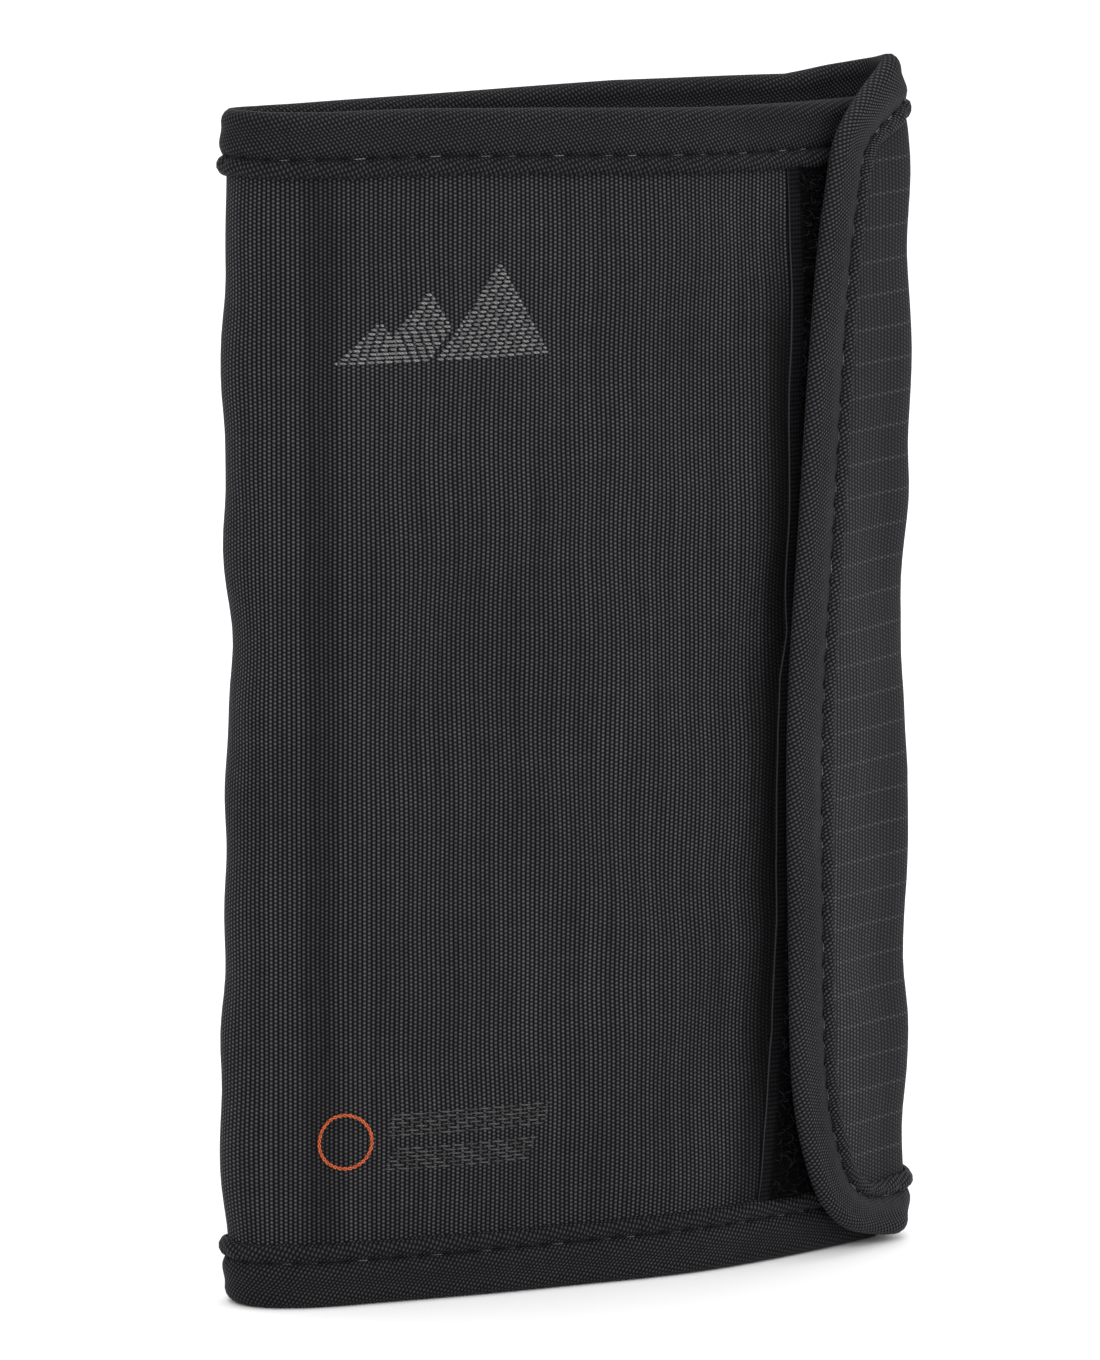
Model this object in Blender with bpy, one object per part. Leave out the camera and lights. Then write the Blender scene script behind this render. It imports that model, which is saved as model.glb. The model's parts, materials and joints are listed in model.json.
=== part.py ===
"""Passport holder wallet: a fabric bifold closed by a wrap-over flap, standing on its lower edge.

Five panels make one strip folded round the contents: cover, spine, back, wrap and flap. Each panel is
built in a frame of its own, with X along the strip, Y out through the outer face and Z up, and its depths
are measured inwards from the outer face. The frames are empties on the four fold lines, each hung on the
one before it.

World frame: +Z up, X across the width with the spine at -X, front facing -Y, origin under the middle.
"""

from collections import namedtuple
from math import cos, pi, sin

import bmesh
import bpy
from mathutils import Matrix, Vector

# Driving dimensions, in millimetres
HEIGHT = 160.0  # along the fold lines
WIDTH = 100.0  # closed, over the spine and the wrap
SPINE_DEPTH = 14.0  # from the back's outer face to the cover's
COVER_BOW = 5.0  # how far the filled cover stands out half-way across
FLAP_LENGTH = 24.0  # from the wrap's fold to the flap's free edge
FLAP_RADIUS = 19.5  # of the flap's two free corners
TAPE_WIDTH = 8.2  # of binding tape on each face
TAPE = 0.5  # thickness of the binding tape
FABRIC = 0.5  # thickness of the ripstop shell
LINING = 0.4  # thickness of the lining and pocket cloth
FOIL = 0.2  # thickness of the shielding foil
STIFFENER = 0.6  # thickness of the plastic stiffener sheets
FASTENER = 0.8  # thickness of the hook strip and of the loop strip
CLEAR = 0.3  # gap between pieces that touch
PASSPORT_WIDTH = 88.0
CARD_WIDTH = 85.6

MM = 0.001
CUT_SPACING = 8.0  # between the cuts that let a panel bow
MITRE_CLEAR = 0.25  # each panel's share of the gap along a fold
ARC_STEPS = 8  # in each rounded corner of the flap
FLAT_ANGLE = 0.01  # radians between two faces that count as one
INWARD = Vector((0.0, -1.0, 0.0))
ALONG = Vector((1.0, 0.0, 0.0))
UP = Vector((0.0, 0.0, 1.0))


def layers(*thicknesses):
    """Depth ranges of the layers held between a tape's two legs, and of the inner leg, which comes last."""
    found = []
    depth = TAPE
    for thickness in (*thicknesses, TAPE):
        found.append((depth + CLEAR, depth + CLEAR + thickness))
        depth += CLEAR + thickness
    return found


SHELL_LAYER, FOIL_LAYER, STIFFENER_LAYER, STIFF_LINING, STIFF_LEG = layers(FABRIC, FOIL, STIFFENER, LINING)
_, SOFT_LINING, SOFT_LEG = layers(FABRIC, LINING)
STIFF_STACK = STIFF_LEG[1]
SOFT_STACK = SOFT_LEG[1]

# Hook strip and loop strip meet between the cover and the flap
LOOP_LAYER = (-CLEAR - FASTENER, -CLEAR)
HOOK_LAYER = (SOFT_LINING[1] + CLEAR, SOFT_LINING[1] + CLEAR + FASTENER)
WRAP_DEPTH = SPINE_DEPTH - LOOP_LAYER[0] + CLEAR + HOOK_LAYER[1]
FREE_EDGE_CLEAR = 0.7  # between the cover's free edge and the wrap
LOOP_WIDTH = 21.0
LOOP_INSET = 0.5  # from the cover's free edge
HOOK_INSET = 4.5  # from the flap's fold
HOOK_MARGIN = 4.0  # from the flap's rounded corners
COVER_WIDTH = WIDTH - SOFT_STACK - FREE_EDGE_CLEAR

# The back's pockets lie flat on each other, and the passport pocket on the cover stands open
POCKET_EDGE = 3.6  # from a fold line to the pockets
POCKET_BASE = 4.0  # height of the pockets' lower seam
NOTE_MOUTH = 138.0
NOTE_LAYER = (STIFF_STACK + CLEAR, STIFF_STACK + CLEAR + LINING)
CARD_MOUTHS = {"top": 122.0, "middle": 106.0, "bottom": 90.0}
CARD_DEPTH = 52.0
CARD_SLACK = 2.4
PASSPORT_MOUTH = 112.0
PASSPORT_SLACK = 1.0
BETWEEN_HALVES = 0.5
BACK_STACK = NOTE_LAYER[1] + len(CARD_MOUTHS) * (CLEAR + LINING)
POCKET_WALL = (STIFF_STACK + CLEAR, SPINE_DEPTH - BACK_STACK - BETWEEN_HALVES)
SHEET_EDGE = 6.0  # from a fold line or a free edge to the foil and the stiffener
SHEET_MARGIN = 3.0  # from the ends of the fold lines to the foil and the stiffener

# A finish is a base colour, a roughness and a metallic value
RIPSTOP = ((0.028, 0.028, 0.030), 0.72, 0.0)
TWILL_TAPE = ((0.022, 0.022, 0.024), 0.62, 0.0)
LINING_CLOTH = ((0.045, 0.045, 0.048), 0.80, 0.0)
SHIELD = ((0.62, 0.63, 0.65), 0.35, 1.0)
STIFF_SHEET = ((0.08, 0.08, 0.085), 0.55, 0.0)
LOOP_PILE = ((0.006, 0.006, 0.007), 0.95, 0.0)
HOOK_FACE = ((0.012, 0.012, 0.013), 0.60, 0.0)

Panel = namedtuple("Panel", "frame start end folds bow")


def bow_at(x):
    """How far the front stands out at a world x: a parabola from the spine to the free edge."""
    reach = (x + WIDTH / 2) / COVER_WIDTH
    return COVER_BOW * max(0.0, 4 * reach * (1 - reach))


THICKNESS = WRAP_DEPTH + bow_at(WIDTH / 2 - FLAP_LENGTH)


def block(along, depth, height):
    """A box between the given ranges along the strip, into it and up it."""
    ranges = (along, (-depth[1], -depth[0]), height)
    shape = bmesh.new()
    bmesh.ops.create_cube(shape, size=1.0)
    bmesh.ops.scale(shape, vec=[high - low for low, high in ranges], verts=shape.verts)
    bmesh.ops.translate(shape, vec=[(low + high) / 2 for low, high in ranges], verts=shape.verts)
    mesh = bpy.data.meshes.new("block")
    shape.to_mesh(mesh)
    shape.free()
    return mesh


def prism(points, right, up, middle, length):
    """A flat outline, its own X along right and its Y along up, extruded to the length about the middle."""
    curve = bpy.data.curves.new("outline", "CURVE")
    curve.dimensions = "2D"
    curve.fill_mode = "BOTH"
    curve.extrude = length / 2
    spline = curve.splines.new("POLY")
    spline.points.add(len(points) - 1)
    for point, (x, y) in zip(spline.points, points):
        point.co = (x, y, 0.0, 1.0)
    spline.use_cyclic_u = True
    drawn = bpy.data.objects.new("outline", curve)
    mesh = as_mesh(drawn)
    bpy.data.curves.remove(curve)
    join_flat_faces(mesh)
    turn = Matrix((right, up, right.cross(up))).transposed().to_4x4()
    mesh.transform(Matrix.Translation(middle) @ turn)
    return mesh


def as_mesh(thing):
    """The evaluated mesh of an object, which is then removed."""
    bpy.context.collection.objects.link(thing)
    evaluated = thing.evaluated_get(bpy.context.evaluated_depsgraph_get())
    mesh = bpy.data.meshes.new_from_object(evaluated)
    bpy.data.objects.remove(thing)
    return mesh


def join_flat_faces(mesh):
    """Welds the mesh and makes one face of each flat area."""
    shape = bmesh.new()
    shape.from_mesh(mesh)
    bmesh.ops.remove_doubles(shape, verts=shape.verts, dist=0.01)
    bmesh.ops.dissolve_limit(shape, angle_limit=FLAT_ANGLE, verts=shape.verts, edges=shape.edges)
    shape.to_mesh(mesh)
    shape.free()


def combine(first, second, operation):
    """The first mesh after an exact Boolean with the second."""
    tool = bpy.data.objects.new("tool", second)
    bpy.context.collection.objects.link(tool)
    body = bpy.data.objects.new("body", first)
    boolean = body.modifiers.new("boolean", "BOOLEAN")
    boolean.operation = operation
    boolean.object = tool
    mesh = as_mesh(body)
    bpy.data.objects.remove(tool)
    join_flat_faces(mesh)
    return mesh


def mitre(shape, panel):
    """Slants the ends that meet a fold, so that the two panels of a closed fold don't touch."""
    for fold in panel.folds:
        inwards = 1.0 if fold == panel.start else -1.0
        for vertex in shape.verts:
            if abs(vertex.co.x - fold) < 0.01:
                vertex.co.x += inwards * (MITRE_CLEAR - vertex.co.y)


def bow_out(shape, panel, flat_from):
    """Cuts the shape across the strip and moves it out along the front's bow, all but what is deeper."""
    cuts = int((panel.end - panel.start) / CUT_SPACING) + 1
    for cut in range(1, cuts):
        place = panel.start + (panel.end - panel.start) * cut / cuts
        everything = [*shape.verts, *shape.edges, *shape.faces]
        bmesh.ops.bisect_plane(shape, geom=everything, dist=0.01, plane_co=ALONG * place, plane_no=ALONG)
    corner = panel.frame.matrix_world.translation.x / MM
    for vertex in shape.verts:
        if -vertex.co.y < flat_from:
            vertex.co.y += bow_at(corner - vertex.co.x)


def add(name, panel, mesh, finish, flat_from=SPINE_DEPTH):
    """Makes a piece of a panel: its folded ends slanted, its bow put in, and its own material."""
    shape = bmesh.new()
    shape.from_mesh(mesh)
    mitre(shape, panel)
    if panel.bow:
        bow_out(shape, panel, flat_from)
    bmesh.ops.scale(shape, vec=(MM, MM, MM), verts=shape.verts)
    bmesh.ops.recalc_face_normals(shape, faces=shape.faces)
    shape.to_mesh(mesh)
    shape.free()
    mesh.name = name
    piece = bpy.data.objects.new(name, mesh)
    wallet.objects.link(piece)
    piece.parent = panel.frame
    colour, roughness, metallic = finish
    material = bpy.data.materials.new(name)
    material.use_nodes = True
    shader = material.node_tree.nodes["Principled BSDF"]
    shader.inputs["Base Color"].default_value = (*colour, 1.0)
    shader.inputs["Roughness"].default_value = roughness
    shader.inputs["Metallic"].default_value = metallic
    mesh.materials.clear()
    mesh.materials.append(material)


def fold_frame(name, parent, place, turn):
    """An empty on a fold line, turned by a number of degrees about it."""
    frame = bpy.data.objects.new(name, None)
    wallet.objects.link(frame)
    frame.parent = parent
    frame.location = Vector(place) * MM
    frame.rotation_euler.z = turn * pi / 180
    bpy.context.view_layer.update()
    return frame


def add_shell(name, panel, free_edge=0.0):
    """The outer fabric: thin where the tapes hold it, and standing out flush with them between."""
    held = (panel.start + free_edge * (TAPE + CLEAR), panel.end)
    proud = (panel.start + free_edge * (TAPE_WIDTH + CLEAR), panel.end)
    edges = block(held, SHELL_LAYER, (TAPE + CLEAR, HEIGHT - TAPE - CLEAR))
    middle_depth = (0.0, sum(SHELL_LAYER) / 2)
    field = block(proud, middle_depth, (TAPE_WIDTH + CLEAR, HEIGHT - TAPE_WIDTH - CLEAR))
    add(name, panel, combine(edges, field, "UNION"), RIPSTOP)


def add_lining(name, panel, depth, free_edge=0.0):
    """The inner cloth, held between the tapes like the shell."""
    held = (panel.start + free_edge * (TAPE + CLEAR), panel.end)
    add(name, panel, block(held, depth, (TAPE + CLEAR, HEIGHT - TAPE - CLEAR)), LINING_CLOTH)


def tape_section(stack):
    """The tape folded over an edge of the stack: depth across, and distance from the edge upwards."""
    return [
        (0.0, 0.0),
        (stack, 0.0),
        (stack, TAPE_WIDTH),
        (stack - TAPE, TAPE_WIDTH),
        (stack - TAPE, TAPE),
        (TAPE, TAPE),
        (TAPE, TAPE_WIDTH),
        (0.0, TAPE_WIDTH),
    ]


def add_end_tapes(name, panel, stack):
    """The binding over the panel's top edge and over its bottom edge."""
    middle = (panel.start + panel.end) / 2
    length = panel.end - panel.start
    bottom = prism(tape_section(stack), INWARD, UP, Vector((middle, 0.0, 0.0)), length)
    add(name + "_binding_bottom", panel, bottom, TWILL_TAPE)
    top = prism(tape_section(stack), INWARD, -UP, Vector((middle, 0.0, HEIGHT)), length)
    add(name + "_binding_top", panel, top, TWILL_TAPE)


def add_stiff_sheets(name, panel):
    """The shielding foil and the stiffener sealed between a panel's shell and its lining."""
    inset = (panel.start + SHEET_EDGE, panel.end - SHEET_EDGE)
    tall = (SHEET_MARGIN, HEIGHT - SHEET_MARGIN)
    add(name + "_rfid_foil", panel, block(inset, FOIL_LAYER, tall), SHIELD)
    add(name + "_stiffener", panel, block(inset, STIFFENER_LAYER, tall), STIFF_SHEET)


def add_back(panel):
    add_shell("back_shell", panel)
    add_stiff_sheets("back", panel)
    add_lining("back_lining", panel, STIFF_LINING)
    add_end_tapes("back", panel, STIFF_STACK)
    pocket = (POCKET_EDGE, WIDTH - POCKET_EDGE)
    add("note_pocket", panel, block(pocket, NOTE_LAYER, (POCKET_BASE, NOTE_MOUTH)), LINING_CLOTH)
    card_side = (WIDTH - CARD_WIDTH - CARD_SLACK) / 2
    depth = NOTE_LAYER[1]
    for place, mouth in CARD_MOUTHS.items():
        depth += CLEAR
        layer = (depth, depth + LINING)
        slot = block((card_side, WIDTH - card_side), layer, (mouth - CARD_DEPTH, mouth))
        add("card_slot_" + place, panel, slot, LINING_CLOTH)
        depth += LINING


def add_spine(panel):
    add_shell("spine_shell", panel)
    add_lining("spine_lining", panel, SOFT_LINING)
    add_end_tapes("spine", panel, SOFT_STACK)


def add_cover(panel):
    add_shell("cover_shell", panel, free_edge=1.0)
    add_stiff_sheets("cover", panel)
    add_lining("cover_lining", panel, STIFF_LINING, free_edge=1.0)
    add_end_tapes("cover", panel, STIFF_STACK)
    between_tapes = HEIGHT - 2 * (TAPE_WIDTH + CLEAR)
    free_edge = Vector((panel.start, 0.0, HEIGHT / 2))
    side = prism(tape_section(STIFF_STACK), INWARD, ALONG, free_edge, between_tapes)
    add("cover_binding_side", panel, side, TWILL_TAPE)
    loop_along = (panel.start + LOOP_INSET, panel.start + LOOP_INSET + LOOP_WIDTH)
    loop_up = (TAPE_WIDTH + CLEAR, HEIGHT - TAPE_WIDTH - CLEAR)
    add("cover_loop_strip", panel, block(loop_along, LOOP_LAYER, loop_up), LOOP_PILE)
    add_passport_pocket(panel)


def add_passport_pocket(panel):
    """A panel with side and lower walls, open at the top, whose rim follows the bowed lining."""
    width = PASSPORT_WIDTH + PASSPORT_SLACK + 2 * LINING
    outside = (-POCKET_EDGE - width, -POCKET_EDGE)
    inside = (outside[0] + LINING, outside[1] - LINING)
    pocket = block(outside, POCKET_WALL, (POCKET_BASE, PASSPORT_MOUTH))
    room = block(inside, (0.0, POCKET_WALL[1] - LINING), (POCKET_BASE + LINING, HEIGHT))
    rim_only = POCKET_WALL[0] + CLEAR
    add("passport_pocket", panel, combine(pocket, room, "DIFFERENCE"), LINING_CLOTH, flat_from=rim_only)


def add_wrap(panel):
    add_shell("wrap_shell", panel)
    add_lining("wrap_lining", panel, SOFT_LINING)
    add_end_tapes("wrap", panel, SOFT_STACK)


def flap_plate(inset, depth, start=0.0):
    """A plate of the flap's outline: straight from the fold line, then two rounded corners."""
    points = [(start, inset)]
    for corner, turn in ((FLAP_RADIUS, -pi / 2), (HEIGHT - FLAP_RADIUS, 0.0)):
        for step in range(ARC_STEPS + 1):
            angle = turn + pi / 2 * step / ARC_STEPS
            x = FLAP_LENGTH - FLAP_RADIUS + (FLAP_RADIUS - inset) * cos(angle)
            points.append((x, corner + (FLAP_RADIUS - inset) * sin(angle)))
    points.append((start, HEIGHT - inset))
    return prism(points, ALONG, UP, INWARD * (sum(depth) / 2), depth[1] - depth[0])


def add_flap(panel):
    past_fold = -5.0
    edges = flap_plate(TAPE + CLEAR, SHELL_LAYER)
    field = flap_plate(TAPE_WIDTH + CLEAR, (0.0, sum(SHELL_LAYER) / 2))
    add("flap_shell", panel, combine(edges, field, "UNION"), RIPSTOP)
    add("flap_lining", panel, flap_plate(TAPE + CLEAR, SOFT_LINING), LINING_CLOTH)
    slot = flap_plate(TAPE, (TAPE, SOFT_STACK - TAPE), start=past_fold)
    window = flap_plate(TAPE_WIDTH, (-CLEAR, SOFT_STACK + CLEAR), start=past_fold)
    bound = combine(flap_plate(0.0, (0.0, SOFT_STACK)), slot, "DIFFERENCE")
    add("flap_binding", panel, combine(bound, window, "DIFFERENCE"), TWILL_TAPE)
    hook_up = (FLAP_RADIUS + HOOK_MARGIN, HEIGHT - FLAP_RADIUS - HOOK_MARGIN)
    hook_along = (HOOK_INSET, FLAP_LENGTH - TAPE_WIDTH - CLEAR)
    add("flap_hook_strip", panel, block(hook_along, HOOK_LAYER, hook_up), HOOK_FACE)


for thing in list(bpy.data.objects):
    bpy.data.objects.remove(thing)
wallet = bpy.data.collections.new("passport_wallet")
bpy.context.scene.collection.children.link(wallet)

back_frame = fold_frame("back_frame", None, (-WIDTH / 2, THICKNESS / 2, 0.0), 0.0)
spine_hinge = fold_frame("spine_hinge", back_frame, (0.0, 0.0, 0.0), 90.0)
cover_hinge = fold_frame("cover_hinge", spine_hinge, (-SPINE_DEPTH, 0.0, 0.0), 90.0)
wrap_hinge = fold_frame("wrap_hinge", back_frame, (WIDTH, 0.0, 0.0), -90.0)
flap_hinge = fold_frame("flap_hinge", wrap_hinge, (WRAP_DEPTH, 0.0, 0.0), -90.0)

add_back(Panel(back_frame, 0.0, WIDTH, (0.0, WIDTH), False))
add_spine(Panel(spine_hinge, -SPINE_DEPTH, 0.0, (-SPINE_DEPTH, 0.0), False))
add_cover(Panel(cover_hinge, -COVER_WIDTH, 0.0, (0.0,), True))
add_wrap(Panel(wrap_hinge, 0.0, WRAP_DEPTH, (0.0, WRAP_DEPTH), False))
add_flap(Panel(flap_hinge, 0.0, FLAP_LENGTH, (0.0,), True))
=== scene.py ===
"""Passport holder wallet: what it looks like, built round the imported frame.

The wallet is one strip of sewn layers, folded round the inside: cover, spine, back, wrap and flap. A place on
it is (s, z, d): s runs along the strip from the cover's free edge, z is up, and d is the depth below the
outside of the binding. Lengths are in millimetres, and put() makes metres of them.
"""

import json
import math

import bpy
import numpy as np
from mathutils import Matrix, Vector


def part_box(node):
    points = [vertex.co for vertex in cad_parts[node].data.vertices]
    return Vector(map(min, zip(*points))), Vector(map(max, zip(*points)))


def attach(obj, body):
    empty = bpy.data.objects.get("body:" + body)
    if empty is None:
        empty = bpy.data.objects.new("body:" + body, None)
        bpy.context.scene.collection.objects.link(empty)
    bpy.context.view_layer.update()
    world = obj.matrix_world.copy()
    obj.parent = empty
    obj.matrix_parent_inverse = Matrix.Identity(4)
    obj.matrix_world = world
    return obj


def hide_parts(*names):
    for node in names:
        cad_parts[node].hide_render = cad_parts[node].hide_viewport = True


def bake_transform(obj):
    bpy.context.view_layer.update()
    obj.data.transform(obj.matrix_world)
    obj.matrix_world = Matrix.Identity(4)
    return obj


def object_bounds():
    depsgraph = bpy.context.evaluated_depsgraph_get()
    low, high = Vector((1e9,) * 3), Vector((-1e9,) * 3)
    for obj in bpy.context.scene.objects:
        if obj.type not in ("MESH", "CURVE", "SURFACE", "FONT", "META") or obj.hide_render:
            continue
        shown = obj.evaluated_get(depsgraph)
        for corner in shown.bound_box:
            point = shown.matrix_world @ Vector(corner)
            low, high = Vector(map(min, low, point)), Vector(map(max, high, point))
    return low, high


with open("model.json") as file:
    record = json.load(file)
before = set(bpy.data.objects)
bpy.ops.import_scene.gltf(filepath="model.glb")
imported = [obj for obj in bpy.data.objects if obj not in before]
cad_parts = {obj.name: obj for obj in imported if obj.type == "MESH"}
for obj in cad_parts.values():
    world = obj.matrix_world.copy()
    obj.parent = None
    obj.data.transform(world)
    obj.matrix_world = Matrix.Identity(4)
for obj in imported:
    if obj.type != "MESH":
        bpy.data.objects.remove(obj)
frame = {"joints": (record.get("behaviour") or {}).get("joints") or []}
CAD_LOW, CAD_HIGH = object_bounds()
METRE = 1000.0

LEFT, RIGHT = CAD_LOW.x * METRE, CAD_HIGH.x * METRE
BACK_PLANE = CAD_HIGH.y * METRE
HEIGHT = CAD_HIGH.z * METRE
FREE_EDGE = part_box("cover_binding_side")[1].x * METRE
FLAP_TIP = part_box("flap_binding")[0].x * METRE + 1.1  # leaning out, the flap reaches less far across

# the binding, from the edge inwards
TAPE_WIDTH = 7.7
TAPE_THICK = 0.5
TAPE_BODY = 0.62  # how deep the tape's body lies below its lip
CROWN_ROUND = 1.5
STITCH_LINE = 5.8
STITCH_PITCH = 3.5
STITCH_GAP = 0.35
STITCH_LIFT = np.array([-0.30, 0.02, 0.14, 0.17, 0.14, 0.02, -0.30])
THREAD_RADIUS = 0.2
THREAD_SIDES = 6
SEWN_AT = 2.45  # the stitch line, measured round the tape from its outer edge

# the depths of the layers below the outside of the binding's lip
SHELL = (0.8, 1.25)
STIFFENER = (1.5, 2.0)
FOIL = (2.1, 2.2)
STIFF_STACK, SOFT_STACK = 4.0, 3.2
LINING_THICK = 0.4
LINING_INSIDE = 0.9  # how far the lining's inside lies from the inside of the stack
HIDDEN, FLAP_HIDDEN = 1.8, 2.4  # how far the cloth's edges lie inside the binding's

# how closely the shapes are divided
FINE, COARSE = 0.44, 1.0
PANEL_STEP, SHELL_STEP, LINING_STEP = 0.8, 0.9, 1.6

# the fabric's swelling: its grid, its limits, and the cloth that it comes from
SWELL_CELL = 2.6
SWELL_LEAST, SWELL_MOST = -0.35, 0.9
SWELL_SHARE = 0.4
SIM_SCALE, SIM_FRAMES = 100.0, 20
CUT_OVER = 0.02
LOOP_SEWN = 3.0

PAPER = (0.93, 0.93, 0.93)


# ---------------------------------------------------------------- curves and the strip


def smoothstep(low, high, x):
    t = np.clip((np.asarray(x, float) - low) / (high - low), 0, 1)
    return t * t * (3 - 2 * t)


def bell(x, middle, width):
    return np.exp(-(((np.asarray(x, float) - middle) / width) ** 2))


def running(line):
    """The length of a line up to each of its points."""
    return np.append(0.0, np.cumsum(np.linalg.norm(np.diff(line, axis=0), axis=1)))


def spline(points, step):
    """Points about step apart on a natural cubic spline through the given points."""
    p = np.array(points, float)
    t = running(p)
    h = np.diff(t)
    n = len(p)
    a = np.eye(n)
    b = np.zeros_like(p)
    for i in range(1, n - 1):
        a[i, i - 1 : i + 2] = h[i - 1], 2 * (h[i - 1] + h[i]), h[i]
        b[i] = 6 * ((p[i + 1] - p[i]) / h[i] - (p[i] - p[i - 1]) / h[i - 1])
    m = np.linalg.solve(a, b)
    q = np.linspace(0, t[-1], int(t[-1] / step) + 2)
    i = np.clip(np.searchsorted(t, q, side="right") - 1, 0, n - 2)
    u, v, w = (q - t[i])[:, None], (t[i + 1] - q)[:, None], h[i][:, None]
    bent = (m[i] * v**3 + m[i + 1] * u**3) / (6 * w)
    return bent + (p[i] / w - m[i] * w / 6) * v + (p[i + 1] / w - m[i + 1] * w / 6) * u


# the outside of the strip seen from above: across, and the distance in front of the back's outside
FRONT_PLAN = (
    (FREE_EDGE, 10.2), (38.6, 12.8), (31, 15.2), (21, 17.4),
    (6, 18.5), (-9, 17.8), (-24, 16.4), (-38.5, 14.4),
)
SPINE_PLAN = ((-44.4, 12.3), (-48.1, 9.4), (LEFT + 0.45, 5.6), (-48.3, 1.9), (-44.8, 0.2))
BACK_PLAN = ((-40, 0), (-15, 0), (15, 0), (38, 0))
WRAP_PLAN = ((44.8, 0.9), (49.6, 3.8), (RIGHT + 0.85, 8.4), (49.7, 11.9), (44.9, 14.6), (39.6, 17.2))
FLAP_PLAN = ((34.4, 19.3), (FLAP_TIP, 21.6))
WHOLE_PLAN = FRONT_PLAN + SPINE_PLAN + BACK_PLAN + WRAP_PLAN + FLAP_PLAN
PLAN = spline([(x, BACK_PLANE - y) for x, y in WHOLE_PLAN], 0.2)

ALONG = running(PLAN)
TANGENT = np.gradient(PLAN, ALONG, axis=0)
TANGENT /= np.linalg.norm(TANGENT, axis=1)[:, None]
OUTWARD = np.stack([-TANGENT[:, 1], TANGENT[:, 0]], axis=1)
NOSE, FOLD = int(np.argmin(PLAN[:, 0])), int(np.argmax(PLAN[:, 0]))  # the leftmost and rightmost points


def cover_s(x):
    """Where the strip passes x on the cover."""
    return float(np.interp(-x, -PLAN[:NOSE, 0], ALONG[:NOSE]))


def back_s(x):
    """Where the strip passes x on the back."""
    return float(np.interp(x, PLAN[NOSE:FOLD, 0], ALONG[NOSE:FOLD]))


def flap_s(x):
    """Where the strip passes x on the flap."""
    return float(np.interp(-x, -PLAN[FOLD:, 0], ALONG[FOLD:]))


S_SPINE, S_WRAP, S_TIP = ALONG[NOSE], ALONG[FOLD], ALONG[-1]
S_BACK = back_s(0)
S_CREASE = cover_s(-36.6)

# dents (below 0) and bulges of the whole stack: how far out, where along and how wide, where up and how tall
DENTS = (
    (-1.1, S_SPINE + 1, 7, 85, 13),
    (0.95, S_SPINE, 8, 25, 15),
    (0.4, S_SPINE, 8, 40, 6),
    (-0.65, S_SPINE, 8, 62, 9),
    (0.45, S_SPINE, 8, 122, 18),
    (-0.15, S_SPINE, 8, 156, 12),
    (-0.15, S_WRAP + 4, 9, 78, 22),
    (-0.4, S_WRAP, 10, 141, 6),
)


def ripple(s, z):
    """How far the whole stack stands out of the plan: soft waves, dents, the crease and a leaning top."""
    out = 0.16 * np.sin(s * 0.21 + 0.6) * np.sin(z * 0.047 + 1.1) + 0.10 * np.sin(s * 0.093 + z * 0.061)
    for by, middle, wide, up, tall in DENTS:
        out = out + by * bell(s, middle, wide) * bell(z, up, tall)
    crease = smoothstep(8, 20, z) * (1 - smoothstep(138, 153, z))
    out = out - 0.2 * bell(s, S_SPINE, 8) - 0.55 * bell(s, S_CREASE + 1.3, 1.7) * crease
    return out - 1.6 * bell(s, S_WRAP + 3, 11) * smoothstep(151, 163, z)


def swell(s, z):
    """How far the fabric panels belly out between their seams, as the simulation left them."""
    field = SWELLED
    s, z = np.broadcast_arrays(np.asarray(s, float), np.asarray(z, float))
    i = np.clip(s / SWELL_CELL, 0, field.shape[0] - 1.001)
    j = np.clip(z / SWELL_CELL, 0, field.shape[1] - 1.001)
    i0, j0 = i.astype(int), j.astype(int)
    u, v = i - i0, j - j0
    low = field[i0, j0] * (1 - u) + field[i0 + 1, j0] * u
    high = field[i0, j0 + 1] * (1 - u) + field[i0 + 1, j0 + 1] * u
    return low * (1 - v) + high * v


def place(s, z, d):
    """Points at s along the strip, z up and d deep."""
    s, z, d = np.broadcast_arrays(np.asarray(s, float), np.asarray(z, float), np.asarray(d, float))
    depth = d - ripple(s, z)
    x = np.interp(s, ALONG, PLAN[:, 0]) - np.interp(s, ALONG, OUTWARD[:, 0]) * depth
    y = np.interp(s, ALONG, PLAN[:, 1]) - np.interp(s, ALONG, OUTWARD[:, 1]) * depth
    return np.stack([x, y, z], axis=-1)


def out_of(s, z):
    """The direction out of the strip at s and z."""
    return place(s, z, 0.0) - place(s, z, 1.0)


# the strip's edges, as (s, z)
TOP_EDGE = (
    (0, 155.9), (cover_s(34), 156.3), (cover_s(20), 157.0), (cover_s(-8), 158.7), (cover_s(-24), 159.5),
    (S_SPINE - 4, 159.9), (S_SPINE + 10, 159.4), (back_s(10), 159.4), (back_s(36), 158.5),
    (back_s(45), 159.7), (S_WRAP, 161.2),
)
BOTTOM_EDGE = ((0, 0.55), (S_SPINE, 0.7), (back_s(-30), 0.55), (back_s(30), 0.6), (S_WRAP, 1.5))
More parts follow.
